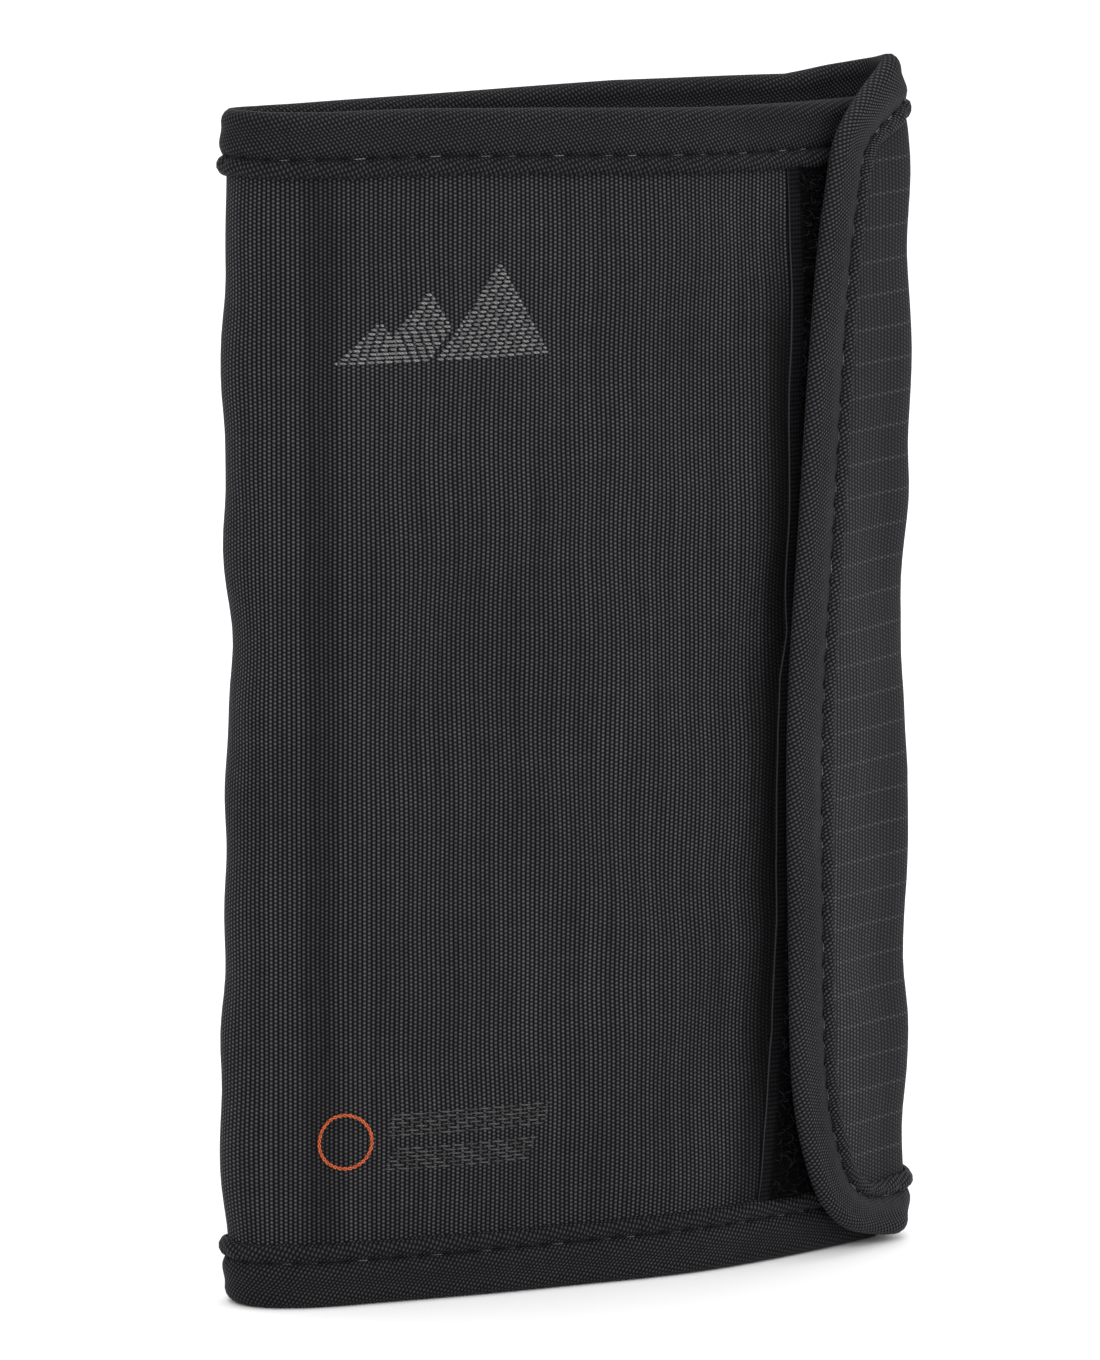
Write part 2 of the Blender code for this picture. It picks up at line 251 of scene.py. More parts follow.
# the flap's outline: beyond the wrap's fold along the strip, and up
FLAP_OUTLINE = (
    (0, 161.2), (3.6, 161.5), (7.0, 160.9), (9.2, 159.7), (11.5, 158.3), (14.3, 156.5), (17.0, 154.4),
    (18.8, 152.0), (19.8, 149.0), (20.5, 145.5), (21.3, 141.8), (22.5, 134.5), (23.5, 126.0), (25.0, 110.9),
    (26.3, 96.2), (27.5, 82.8), (28.0, 69.4), (27.8, 55.6), (27.4, 41.9), (27.0, 29.0), (25.8, 19.7),
    (23.6, 12.7), (21.8, 8.9), (19.3, 5.9), (16.1, 3.8), (12.2, 2.5), (7.0, 1.6), (0, 1.5),
)
FLAP_EDGE = spline([(S_WRAP + s, z) for s, z in FLAP_OUTLINE], FINE)


def tape_scale(s):
    """The binding is drawn in narrower round the flap's long side."""
    return 1 - 0.2 * smoothstep(S_WRAP + 4, S_WRAP + 17, s)


def top_z(s):
    return np.interp(s, *zip(*TOP_EDGE))


def bottom_z(s):
    return np.interp(s, *zip(*BOTTOM_EDGE))


def stack(s):
    """How deep the whole stack is: thicker where a stiffener lies in it."""
    cover = 1 - smoothstep(S_CREASE - 4, S_CREASE + 1, s)
    back = smoothstep(back_s(-42), back_s(-37), s) * (1 - smoothstep(back_s(38), back_s(43), s))
    return SOFT_STACK + (STIFF_STACK - SOFT_STACK) * np.maximum(cover, back)


def edge_line(s0, s1, edge, step=FINE):
    """The outline along a top or bottom edge, from s0 to s1."""
    s = np.linspace(s0, s1, int(abs(s1 - s0) / step) + 2)
    return np.stack([s, edge(s)], axis=1)


# ---------------------------------------------------------------- the fabric's swelling, simulated


def seams(s, z):
    """Where the outer fabric is held: the bound edges, the loop strip, the crease and the flap's tape."""
    edge = TAPE_WIDTH + 0.5
    held = (z < bottom_z(s) + edge) | (z > top_z(s) - edge) | (s < LOOP_SEWN) | (np.abs(s - S_CREASE) < 1.4)
    low, high = flap_span(s, TAPE_WIDTH)
    return held | ((s > S_WRAP) & ((z < low + 1) | (z > high - 1) | (s > FLAP_EDGE[:, 0].max() - TAPE_WIDTH)))


def flap_span(s, inset):
    """The heights between which the flap, inset from its edge, lies at s."""
    edge = FLAP_EDGE + inward_of(FLAP_EDGE) * inset
    tip = int(np.argmax(edge[:, 0]))
    high = np.interp(s, edge[: tip + 1, 0], edge[: tip + 1, 1])
    low = np.interp(s, edge[tip:][::-1, 0], edge[tip:][::-1, 1])
    return low, high


def simulated_swelling():
    """Blender's Cloth on the whole strip laid flat, ten times its size, held at its seams and blown out.

    The fabric is cut slightly larger than its outline, so it leaves soft puckers. The result is kept as the
    height over each cell of a grid, and no Cloth stays in the scene.
    """
    s, z = (np.arange(0, reach + SWELL_CELL, SWELL_CELL) for reach in (S_TIP, HEIGHT))
    across, up = np.meshgrid(s, z, indexing="ij")
    held = seams(across, up)
    start = np.where(held, 0.0, np.random.default_rng(3).normal(0, 0.02, held.shape))
    points = np.stack([across, up, start], axis=-1).reshape(-1, 3) / SIM_SCALE
    index = np.arange(held.size).reshape(held.shape)
    faces = np.stack([index[:-1, :-1], index[1:, :-1], index[1:, 1:], index[:-1, 1:]], axis=-1).reshape(-1, 4)
    mesh = bpy.data.meshes.new("swelling")
    mesh.from_pydata(points.tolist(), [], faces.tolist())
    sheet = bpy.data.objects.new("swelling", mesh)
    scene = bpy.context.scene
    scene.collection.objects.link(sheet)
    sheet.vertex_groups.new(name="seams").add(np.nonzero(held.ravel())[0].tolist(), 1.0, "REPLACE")
    cloth = sheet.modifiers.new("cloth", "CLOTH")
    settings = cloth.settings
    settings.vertex_group_mass = "seams"
    settings.tension_stiffness = settings.compression_stiffness = 15
    settings.bending_stiffness = 0.6
    settings.use_pressure = True
    settings.uniform_pressure_force = 1.0
    settings.shrink_min = -CUT_OVER
    settings.effector_weights.gravity = 0
    cloth.point_cache.frame_start, cloth.point_cache.frame_end = 1, SIM_FRAMES
    for number in range(1, SIM_FRAMES + 1):
        scene.frame_set(number)
    made = sheet.evaluated_get(bpy.context.evaluated_depsgraph_get()).to_mesh()
    moved = np.empty(len(made.vertices) * 3)
    made.vertices.foreach_get("co", moved)
    high = moved.reshape(*held.shape, 3)[..., 2] * SIM_SCALE
    scene.frame_set(1)
    bpy.data.objects.remove(sheet)
    return np.clip(soften(high) * SWELL_SHARE, SWELL_LEAST, SWELL_MOST)


def soften(field):
    """The field with each cell averaged with its neighbours."""
    wide = np.pad(field, 1, mode="edge")
    down = wide[:-2] + 2 * wide[1:-1] + wide[2:]
    return (down[:, :-2] + 2 * down[:, 1:-1] + down[:, 2:]) / 16


# ---------------------------------------------------------------- meshes


def loft(rings, info):
    """A closed body through rings of points, with its ends capped across the rows.

    Each ring is an outer row and the inner row back again. info is (along, across, shade) at each point.
    """
    count, n = rings.shape[:2]
    index = np.arange(count * n).reshape(count, n)
    after = np.roll(index, -1, axis=1)
    sides = np.stack([index[:-1], after[:-1], after[1:], index[1:]], axis=-1).reshape(-1, 4)
    near = np.arange(n // 2 - 1)
    far = n - 1 - near
    first = np.stack([index[0, near + 1], index[0, near], index[0, far], index[0, far - 1]], axis=-1)
    last = np.stack([index[-1, near], index[-1, near + 1], index[-1, far - 1], index[-1, far]], axis=-1)
    return rings.reshape(-1, 3), np.concatenate([sides, first, last]), info.reshape(-1, 3)


def two_rows(outer, inner):
    """A loft from two (points, info) grids, the outer rows and the inner rows."""
    points, info = (np.concatenate([a, b[:, ::-1]], axis=1) for a, b in zip(outer, inner))
    return loft(points, info)


def joined(bodies):
    """Several lofts as one set of points, faces and info."""
    points, faces, info, start = [], [], [], 0
    for p, f, i in bodies:
        points.append(p)
        faces.append(f + start)
        info.append(i)
        start += len(p)
    return np.concatenate(points), np.concatenate(faces), np.concatenate(info)


def volume(points, faces):
    a, b, c, d = (points[faces[:, k]] for k in range(4))
    return float(np.sum(a * np.cross(b, c)) + np.sum(a * np.cross(c, d)))


def put(name, shape, material, sharp=40):
    """Makes an object of a loft, in metres, with its info as the attribute named strip."""
    points, faces, info = shape
    if volume(points, faces) < 0:
        faces = faces[:, ::-1]
    mesh = bpy.data.meshes.new(name)
    mesh.from_pydata((points / METRE).tolist(), [], faces.tolist())
    strip = mesh.attributes.new("strip", "FLOAT_VECTOR", "POINT")
    strip.data.foreach_set("vector", info.astype(np.float32).ravel())
    mesh.shade_smooth()
    mesh.set_sharp_from_angle(angle=math.radians(sharp))
    mesh.materials.append(material)
    piece = bpy.data.objects.new(name, mesh)
    bpy.context.scene.collection.objects.link(piece)
    return piece


def rows(s, z, d, shade=0.0):
    """Points and info of a grid of places."""
    s, z, d, shade = np.broadcast_arrays(*(np.asarray(v, float) for v in (s, z, d, shade)))
    return place(s, z, d), np.stack([s, z, shade], axis=-1)


def slab(s, low, high, outer, inner, step=COARSE, shade=None):
    """A sheet along the strip between heights low and high, from depth outer to depth inner.

    The heights are numbers or go with s. The depths may be functions of s and z, and the shade of the outer
    face is one.
    """
    s = np.asarray(s, float)[:, None]
    low, high = (np.broadcast_to(np.asarray(v, float).reshape(-1, 1), (len(s), 1)) for v in (low, high))
    v = np.linspace(0, 1, int(np.max(high - low) / step) + 2)[None, :]
    z = low + (high - low) * v
    deep = [f(s, z) if callable(f) else np.broadcast_to(f, z.shape) for f in (outer, inner)]
    return two_rows(rows(s, z, deep[0], shade(s, z) if shade else 0.0), rows(s, z, deep[1]))


def tape_section(deep):
    """Half of the tape's inner face, as (depth, height from the edge): lip, stitch groove, body and crown."""
    half = deep / 2
    leg = [
        (0.72, TAPE_WIDTH + 0.05), (0.28, TAPE_WIDTH), (0.0, TAPE_WIDTH - 0.5), (0.1, STITCH_LINE + 0.7),
        (TAPE_BODY + 0.34, STITCH_LINE), (TAPE_BODY - 0.06, STITCH_LINE - 0.8), (TAPE_BODY - 0.12, 3.4),
        (TAPE_BODY + 0.08, 1.7),
    ]
    turns = np.linspace(0.25, math.pi / 2, 5)
    return leg + [(half - (half - TAPE_BODY) * math.cos(a), CROWN_ROUND * (1 - math.sin(a))) for a in turns]


def tape(outline, inward, phase=0.0):
    """The binding swept along an outline of (s, z), which has inward as its direction into the panel."""
    rings, infos = [], []
    for (s, z), (ms, mz), a in zip(outline, inward, running(outline) + phase):
        whole = float(stack(s))
        near = tape_section(whole)
        far = [(whole - x, h) for x, h in reversed(near[:-1])]
        inside = resample(spline(near + far, 0.6), 40)
        inside[:, 1] -= inside[:, 1].min()
        turn = np.gradient(inside, axis=0)
        turn /= np.linalg.norm(turn, axis=1)[:, None]
        outside = inside + np.stack([turn[:, 1], -turn[:, 0]], axis=1) * TAPE_THICK
        width = running(inside)
        beat = 2 * math.pi * a / STITCH_PITCH
        pinch = (0.5 + 0.5 * math.cos(beat)) ** 3
        wave = 0.10 * math.sin(a * 0.63) + 0.07 * math.sin(a * 1.37 + 1)
        for row in (inside, outside):
            near_stitch = bell(row[:, 1], STITCH_LINE + 0.1, 0.75)
            side = np.where(row[:, 0] < whole / 2, 1.0, -1.0)
            row[:, 0] += side * near_stitch * (0.42 * pinch - 0.05)
            row[:, 1] += wave * smoothstep(STITCH_LINE - 0.6, TAPE_WIDTH, row[:, 1])
            lip = smoothstep(STITCH_LINE + 0.4, STITCH_LINE + 1.2, row[:, 1])
            row[:, 0] += side * lip * (0.4 * top_corner(s, z) - 0.05 * math.cos(beat + 2.2))
        ring = np.concatenate([inside, outside[::-1]])
        high = ring[:, 1] * tape_scale(s)
        rings.append(place(s + ms * high, z + mz * high, ring[:, 0]))
        across = np.concatenate([width, width[::-1]])
        crown = np.concatenate([1 - np.abs(2 * width / width[-1] - 1)] * 2)
        infos.append(np.stack([np.full(len(ring), a), across, crown], axis=1))
    return loft(np.array(rings), np.array(infos))


def top_corner(s, z):
    """1 where the binding turns down from the top of the wrap's fold, fading to 0 round it."""
    return bell(s, S_WRAP + 7, 9) * smoothstep(138, 148, z)


def resample(line, count):
    """The line as a given number of points, evenly spaced."""
    t = running(line)
    q = np.linspace(0, t[-1], count)
    return np.stack([np.interp(q, t, line[:, k]) for k in range(2)], axis=1)


def inward_of(outline):
    """The directions into the panel along an outline that goes round it with the panel on its right."""
    turn = np.gradient(outline, axis=0)
    turn /= np.linalg.norm(turn, axis=1)[:, None]
    return np.stack([turn[:, 1], -turn[:, 0]], axis=1)


def eased(directions, reach):
    """Directions averaged over the reach each side, square to the strip at both ends."""
    count = int(reach / FINE)
    ends = [np.tile([0.0, sign], (count, 1)) for sign in (-1.0, 1.0)]
    padded = np.concatenate([ends[0], directions, ends[1]])
    weight = np.hanning(2 * count + 3)[1:-1]
    found = np.stack([np.convolve(padded[:, k], weight, "valid") for k in range(2)], axis=1)
    found[0], found[-1] = (0.0, -1.0), (0.0, 1.0)
    return found / np.linalg.norm(found, axis=1)[:, None]


def thread(centre, outward, radius, shade=0.5, flat=1.0):
    """A length of thread through centre points, rounded off at its ends."""
    centre = np.asarray(centre, float)
    turn = np.gradient(centre, axis=0)
    turn /= np.linalg.norm(turn, axis=1)[:, None] + 1e-9
    side = np.cross(turn, outward)
    side /= np.linalg.norm(side, axis=1)[:, None]
    up = np.cross(side, turn)
    t = np.linspace(-1, 1, len(centre))
    size = radius * np.sqrt(np.clip(1.02 - t**6, 0.05, 1))
    angle = np.arange(THREAD_SIDES) * (2 * math.pi / THREAD_SIDES)
    ring = centre[:, None] + size[:, None, None] * (
        side[:, None] * np.cos(angle)[None, :, None] + flat * up[:, None] * np.sin(angle)[None, :, None]
    )
    info = np.broadcast_arrays(running(centre)[:, None], angle[None], float(shade))
    return loft(ring, np.stack(info, axis=-1))


def stitches(outline, inward, deep, phase=0.0, line=STITCH_LINE, rise=TAPE_BODY, faces=(True, True)):
    """Lockstitches along an outline, on the outside and on the inside of what is deep(s) thick."""
    along = running(outline)
    found = []
    for k in range(int((along[-1] - 0.6) / STITCH_PITCH)):
        middle = (k + 0.5) * STITCH_PITCH - (phase % STITCH_PITCH)
        a = middle + np.linspace(-0.5, 0.5, 7) * (STITCH_PITCH - STITCH_GAP)
        if a[0] < 0.2 or a[-1] > along[-1] - 0.2:
            continue
        s, z = (np.interp(a, along, outline[:, c]) for c in (0, 1))
        ms, mz = (np.interp(a, along, inward[:, c]) for c in (0, 1))
        slant = 0.16 * np.linspace(-1, 1, 7) + 0.07 * math.sin(k * 2.4)
        reach = (line + slant) * tape_scale(s)
        s, z = s + ms * reach, z + mz * reach
        out = out_of(s, z)
        if faces[0]:
            # painted highlight: the stitches round the wrap's top corner are made paler
            shade = 0.5 + 0.3 * math.sin(k * 1.7) + 0.6 * float(top_corner(s[0], z[0]))
            found.append(thread(place(s, z, rise - STITCH_LIFT), out, THREAD_RADIUS, shade))
        if faces[1]:
            found.append(thread(place(s, z, deep(s) - rise + STITCH_LIFT), -out, THREAD_RADIUS))
    return joined(found)


# ---------------------------------------------------------------- materials


class Field:
    """A number that a material's nodes work out, so that a pattern is written as a formula."""

    def __init__(self, tree, socket):
        self.tree, self.socket = tree, socket

    def work(self, operation, *others):
        node = self.tree.nodes.new("ShaderNodeMath")
        node.operation = operation
        for k, value in enumerate((self,) + others):
            if isinstance(value, Field):
                self.tree.links.new(value.socket, node.inputs[k])
            else:
                node.inputs[k].default_value = value
        return Field(self.tree, node.outputs[0])

    def __add__(self, other):
        return self.work("ADD", other)

    def __sub__(self, other):
        return self.work("SUBTRACT", other)

    def __rsub__(self, other):
        return (self * -1) + other

    def __mul__(self, other):
        return self.work("MULTIPLY", other)

    def __pow__(self, other):
        return self.work("POWER", other)

    __radd__ = __add__
    __rmul__ = __mul__

    def wave(self, period, shift=0.0):
        """0 to 1 and back again, once a period."""
        return (self * (2 * math.pi / period) + shift).work("COSINE") * 0.5 + 0.5

    def round(self, pitch):
        """A yarn's rounded top, once a pitch."""
        t = (self * (1 / pitch)).work("FRACT") * 2 - 1
        return 1 - t * t

    def step(self, pitch):
        return (self * (1 / pitch)).work("FLOOR")

    def clamp(self):
        return self.work("MINIMUM", 1.0).work("MAXIMUM", 0.0)


class Finish:
    """A Principled material that reads the strip attribute: x along, y across, shade."""

    def __init__(self, name, roughness=0.6, specular=0.5, sheen=0.0, sheen_roughness=0.5, metallic=0.0):
        self.material = bpy.data.materials.new(name)
        self.material.use_nodes = True
        self.tree = self.material.node_tree
        self.shader = self.tree.nodes["Principled BSDF"]
        values = {
            "Roughness": roughness, "Specular IOR Level": specular, "Metallic": metallic,
            "Sheen Weight": sheen, "Sheen Roughness": sheen_roughness,
        }
        for socket, value in values.items():
            self.shader.inputs[socket].default_value = value
        attribute = self.tree.nodes.new("ShaderNodeAttribute")
        attribute.attribute_name = "strip"
        split = self.tree.nodes.new("ShaderNodeSeparateXYZ")
        self.tree.links.new(attribute.outputs["Vector"], split.inputs[0])
        self.vector = attribute.outputs["Vector"]
        self.x, self.y, self.shade = (Field(self.tree, split.outputs[k]) for k in range(3))

    def noise(self, period, detail=2.0, stretch=(1, 1)):
        """Cloudy noise from 0 to 1, with features about a period across."""
        scale = self.tree.nodes.new("ShaderNodeVectorMath")
        scale.operation = "MULTIPLY"
        scale.inputs[1].default_value = (stretch[0] / period, stretch[1] / period, 1.0)
        self.tree.links.new(self.vector, scale.inputs[0])
        node = self.tree.nodes.new("ShaderNodeTexNoise")
        node.inputs["Scale"].default_value = 1.0
        node.inputs["Detail"].default_value = detail
        self.tree.links.new(scale.outputs[0], node.inputs["Vector"])
        return Field(self.tree, node.outputs["Fac"])

    def colour(self, amount, dark, bright):
        """Base colour between two colours, by an amount from 0 to 1."""
        mix = self.tree.nodes.new("ShaderNodeMix")
        mix.data_type = "RGBA"
        mix.inputs["A"].default_value = (*dark, 1)
        mix.inputs["B"].default_value = (*bright, 1)
        self.tree.links.new(amount.clamp().socket, mix.inputs["Factor"])
        self.tree.links.new(mix.outputs["Result"], self.shader.inputs["Base Color"])

    def roughness(self, field):
        self.tree.links.new(field.clamp().socket, self.shader.inputs["Roughness"])

    def bump(self, field, height, strength=1.0):
        """Relief of the given height in millimetres."""
        node = self.tree.nodes.new("ShaderNodeBump")
        node.inputs["Strength"].default_value = strength
        node.inputs["Distance"].default_value = height / METRE
        self.tree.links.new(field.socket, node.inputs["Height"])
        self.tree.links.new(node.outputs[0], self.shader.inputs["Normal"])


def grey(value, blue=1.13):
    return (value, value, value * blue)


# warp yarn pitch, crown spacing along a yarn, ripstop grid, the tape's rib pitch and its grain
YARN, CROWN, RIP = 0.643, 0.54, 4.5
RIB, GRAIN = 0.47, 0.52


def ripstop():
    """Black nylon: rows of bright yarn crowns, with a heavier yarn every 4.5 mm both ways."""
    f = Finish("ripstop", specular=0.035, sheen=0.012, sheen_roughness=0.45)
    column = f.x.step(YARN)
    shifted = f.y + (column * 0.5).work("FRACT") * CROWN
    across = f.x.round(YARN)
    crown = shifted.wave(CROWN)
    rib = f.x.wave(RIP) ** 30
    row = f.y.wave(RIP) ** 64
    luster = f.noise(1.3, 1.0, (1.6, 0.5))
    cloud = f.noise(26.0, 2.0)
    streak = f.noise(0.9, 1.0, (1.0, 0.03))
    spot = across ** 2.8 * (0.10 + crown ** 1.5 * 0.90)
    # painted sheen: past the wrap's fold the flap's crowns are dimmed, its rows lifted and a flat grey added,
    # so the flap reads paler and flatter
    turned = ((f.x - (S_WRAP - 6)) * 0.125).clamp()
    # painted shade: a darker band just past the crease, where the real panel dips
    crease = 1 - 0.36 * ((f.x - S_CREASE) * 0.9).clamp() * (1 - ((f.x - S_CREASE - 4.4) * 0.5).clamp())
    # painted highlight: the flap's crowns brighten again towards its free edge, and more so lower down
    painted_flap_highlight = ((f.x - (S_WRAP + 9)) * 0.11).clamp() * (1.15 - f.y * 0.006)
    amount = spot * (0.2 + luster * 0.6 + streak * 0.6 + rib * 0.2) * (1 - turned * 0.62 + painted_flap_highlight * 0.6)
    amount = amount * (0.75 + cloud * 0.5) + row * crown * across * (0.12 + turned * 0.4) + turned * 0.09
    # the shade attribute is painted shade beside the loop strip
    f.colour(amount * crease * (1 - f.shade), grey(0.0022), grey(0.090, 1.10))
    f.roughness(0.62 - spot * 0.20 + luster * 0.08)
    f.bump(across * (0.45 + crown * 0.55) * (1 + rib * 0.4 + row * 0.4), 0.13, 0.9)
    return f.material


def twill():
    """Binding tape: diagonal ribs of short floats, rubbed a little paler along the crown."""
    f = Finish("twill_tape", specular=0.04, sheen=0.012, sheen_roughness=0.4)
    slant = f.x * 0.74 - f.y * 0.67
    rib = slant.round(RIB)
    grain = (f.x * 0.67 + f.y * 0.74 + (slant.step(RIB) * 0.5).work("FRACT") * GRAIN).wave(GRAIN)
    # painted shade: a dark line along the stitch groove, darkest at the holes
    row = ((f.y - SEWN_AT) ** 2.0 * -9.0).work("EXPONENT")
    sewn = row * (0.35 + f.x.wave(STITCH_PITCH) ** 5.0 * 0.65)
    luster = f.noise(0.9, 1.0)
    cloud = f.noise(17.0, 3.0)
    wear = (f.shade - 0.86).clamp() * 5.0 * f.noise(5.0, 3.0)
    spot = rib ** 2.6 * (0.15 + grain ** 1.3 * 0.85)
    # painted sheen: the binding round the flap is made paler
    turned = ((f.x - (S_WRAP + 2)) * 0.2).clamp()
    # painted sheen: an even, paler band along the flap's long side, where the ribs show no highlights
    painted_sheen_band = ((f.y - SEWN_AT - 1.9) ** 2.0 * -0.7).work("EXPONENT") * turned
    spot = spot * (1 - painted_sheen_band * 0.75) + painted_sheen_band * 0.24
    amount = spot * (0.55 + luster * 0.55) * (0.65 + cloud * 0.7) * (1 + turned * 0.55) + wear * 0.12
    f.colour(amount * (1 - sewn * 0.6), grey(0.0018), grey(0.051, 1.11))
    f.roughness(0.60 - spot * 0.14 + cloud * 0.12)
    f.bump(rib * (0.5 + grain * 0.5), 0.10, 0.8)
    return f.material


def taffeta():
    """Lining cloth: a close plain weave with a soft lustre."""
    f = Finish("taffeta", specular=0.07, sheen=0.02, sheen_roughness=0.35)
    weave = f.x.round(0.42) * 0.5 + f.y.round(0.36) * 0.5
    slub = f.noise(3.0, 3.0, (0.25, 2.2))
    cloud = f.noise(30.0, 2.0)
    f.colour(weave * 0.5 + slub * 0.35 + cloud * 0.25, grey(0.006), grey(0.04))
    f.roughness(0.5 + slub * 0.15)
    f.bump(weave + slub * 0.4, 0.05, 0.7)
    return f.material


def sewing_thread(name, dark, bright, sheen=0.2):
    """Twisted thread: diagonal plies."""
    f = Finish(name, specular=0.08, sheen=sheen)
    ply = (f.x * 1.0 + f.y * 0.16).round(0.42)
    f.colour(ply * (0.35 + f.shade * 0.8), dark, bright)
    f.roughness(0.58 - ply * 0.15)
    f.bump(ply, 0.05, 0.8)
    return f.material


def pile(name, dark, bright, roughness):
    """Loop or hook fibres, each one a little lighter or darker by its shade."""
    f = Finish(name, specular=0.02, sheen=0.0)
    fibre = f.x.wave(0.5)
    f.colour(f.shade ** 5 + fibre * 0.02, dark, bright)
    f.roughness(roughness + fibre * 0.1)
    f.bump(fibre, 0.02, 0.5)
    return f.material


def selvage():
    """The woven ground of the loop and hook strips: ribs across the strip."""
    f = Finish("strip_ground", specular=0.02, sheen=0.0)
    rib = f.y.round(0.62)
    warp = f.x.round(0.5)
    amount = rib * (0.4 + warp * 0.6) * (0.6 + f.noise(2.0) * 0.8) * (0.1 + f.shade * 0.75)
    f.colour(amount, grey(0.0018), grey(0.010))
    f.roughness(0.75 - rib * 0.15)
    f.bump(rib * (0.7 + warp * 0.3), 0.13, 0.9)
    return f.material


def plastic_sheet():
    f = Finish("stiffener", specular=0.5)
    f.colour(f.noise(8.0, 4.0), grey(0.06), grey(0.1))
    f.roughness(0.45 + f.noise(1.5) * 0.2)
    f.bump(f.noise(0.6), 0.03, 0.6)
    return f.material


def crumpled_foil():
    f = Finish("foil", specular=0.5, metallic=1.0)
    f.colour(f.noise(6.0, 4.0), grey(0.5), grey(0.7))
    f.roughness(0.22 + f.noise(3.0) * 0.2)
    f.bump(f.noise(4.0, 5.0), 0.3, 0.7)
    return f.material


RIPSTOP, TAPE, TAFFETA = ripstop(), twill(), taffeta()
THREAD = sewing_thread("black_thread", grey(0.006), grey(0.19), 0.02)
GREY_THREAD = sewing_thread("grey_thread", grey(0.04), grey(0.21, 1.0), 0.03)
DIM_THREAD = sewing_thread("dim_thread", grey(0.012), grey(0.09, 1.0), 0.02)
ORANGE_THREAD = sewing_thread("orange_thread", (0.22, 0.036, 0.01), (0.62, 0.13, 0.045), 0.05)
LOOPS = pile("loop_fibre", grey(0.0036), grey(0.021), 0.9)
HOOKS = pile("hook_stem", grey(0.006), grey(0.03), 0.45)
GROUND = selvage()


# ---------------------------------------------------------------- the four lengths of the strip


def pivot(name):
    joint = next(j for j in frame["joints"] if j["name"] == name)
    return Vector(joint["pos_m"])


class Length:
    """A length of the strip across one joint, between the middles of two panels."""

    def __init__(self, name, s0, s1, still, moving, joint, start, end):
        self.name, self.s0, self.s1 = name, s0, s1
        self.still, self.moving = still, moving
        self.start = pivot(joint) + Vector((*start, 0)) / METRE
        self.end = pivot(joint) + Vector((*end, 0)) / METRE

    def add(self, piece, *nodes):
        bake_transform(piece)
        if nodes:
            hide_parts(*nodes)
        return piece

    def steps(self, step=COARSE):
        return np.linspace(self.s0, self.s1, int((self.s1 - self.s0) / step) + 2)


FRONT = Length("front", 0.0, S_SPINE, "spine", "cover", "cover_fold", (3.0, 6.6), (9.0, 0.6))
NEAR_BACK = Length("near_back", S_SPINE, S_BACK, "back", "spine", "spine_fold", (8.0, -0.4), (3.5, -3.4))
FAR_BACK = Length("far_back", S_BACK, S_WRAP, "back", "wrap", "wrap_fold", (-5.3, -0.4), (-0.8, -3.9))
FLAP = Length("flap", S_WRAP, S_TIP, "wrap", "flap", "flap_fold", (-1.5, 8.1), (-9.0, 0.1))


def shell_depth(s, z):
    return SHELL[0] - swell(s, z)


def shell_inside(s, z):
    return SHELL[1] - swell(s, z)


def lining_depth(s, z):
    return stack(s) - LINING_INSIDE - LINING_THICK + 0 * z


def lining_inside(s, z):
    return stack(s) - LINING_INSIDE + 0 * z


# the loop strip's edge on the cover, as (z, s)
LOOP_EDGE = (
    (6.5, 23.2), (11.5, 22.7), (18, 22.3), (25, 21.5), (32, 20.4), (45, 20.2), (52, 19.9), (63, 20.2),
    (73, 20.5), (80, 19.9), (86, 18.3), (93, 18.5), (104, 18.6), (139, 17.9), (150, 18.2),
)


def loop_left(z):
    """Where the loop strip's edge runs on the cover."""
    return np.interp(z, *zip(*LOOP_EDGE))


def painted_loop_shade(s, z):
    """Painted shade on the cover's fabric beside the loop strip, where the real fabric dips down to it."""
    along = (0.6 + 0.4 * smoothstep(8, 30, z)) * (1 - smoothstep(124, 143, z))
    return 0.86 * (1 - smoothstep(0.8, 6.6, s - loop_left(z))) * along


def cut_cloth(piece, s, low, high):
    """Works out the flat size of the cloth from low to high along s, and keeps nothing of it."""
    height = np.broadcast_to(high - low, s.shape)
    flat = (float(s[-1] - s[0]) / METRE, float(height.max()) / METRE)


def add_cloth(length, s, low, high, shell_nodes, lining_nodes, shade=None):
    """The outer fabric and the lining of a length, each a sheet."""
    shell = slab(s, low, high, shell_depth, shell_inside, SHELL_STEP, shade)
    lining = slab(s, low, high, lining_depth, lining_inside, LINING_STEP)
    for shape, kind, material, slot, nodes, lies_on in (
        (shell, "ripstop", RIPSTOP, "ripstop", shell_nodes, lining_nodes[0]),
        (lining, "taffeta", TAFFETA, "lining_cloth", lining_nodes, shell_nodes[0]),
    ):
        piece = length.add(put(f"{length.name}_{kind}", shape, material), *nodes)
        cut_cloth(piece, s, low, high)


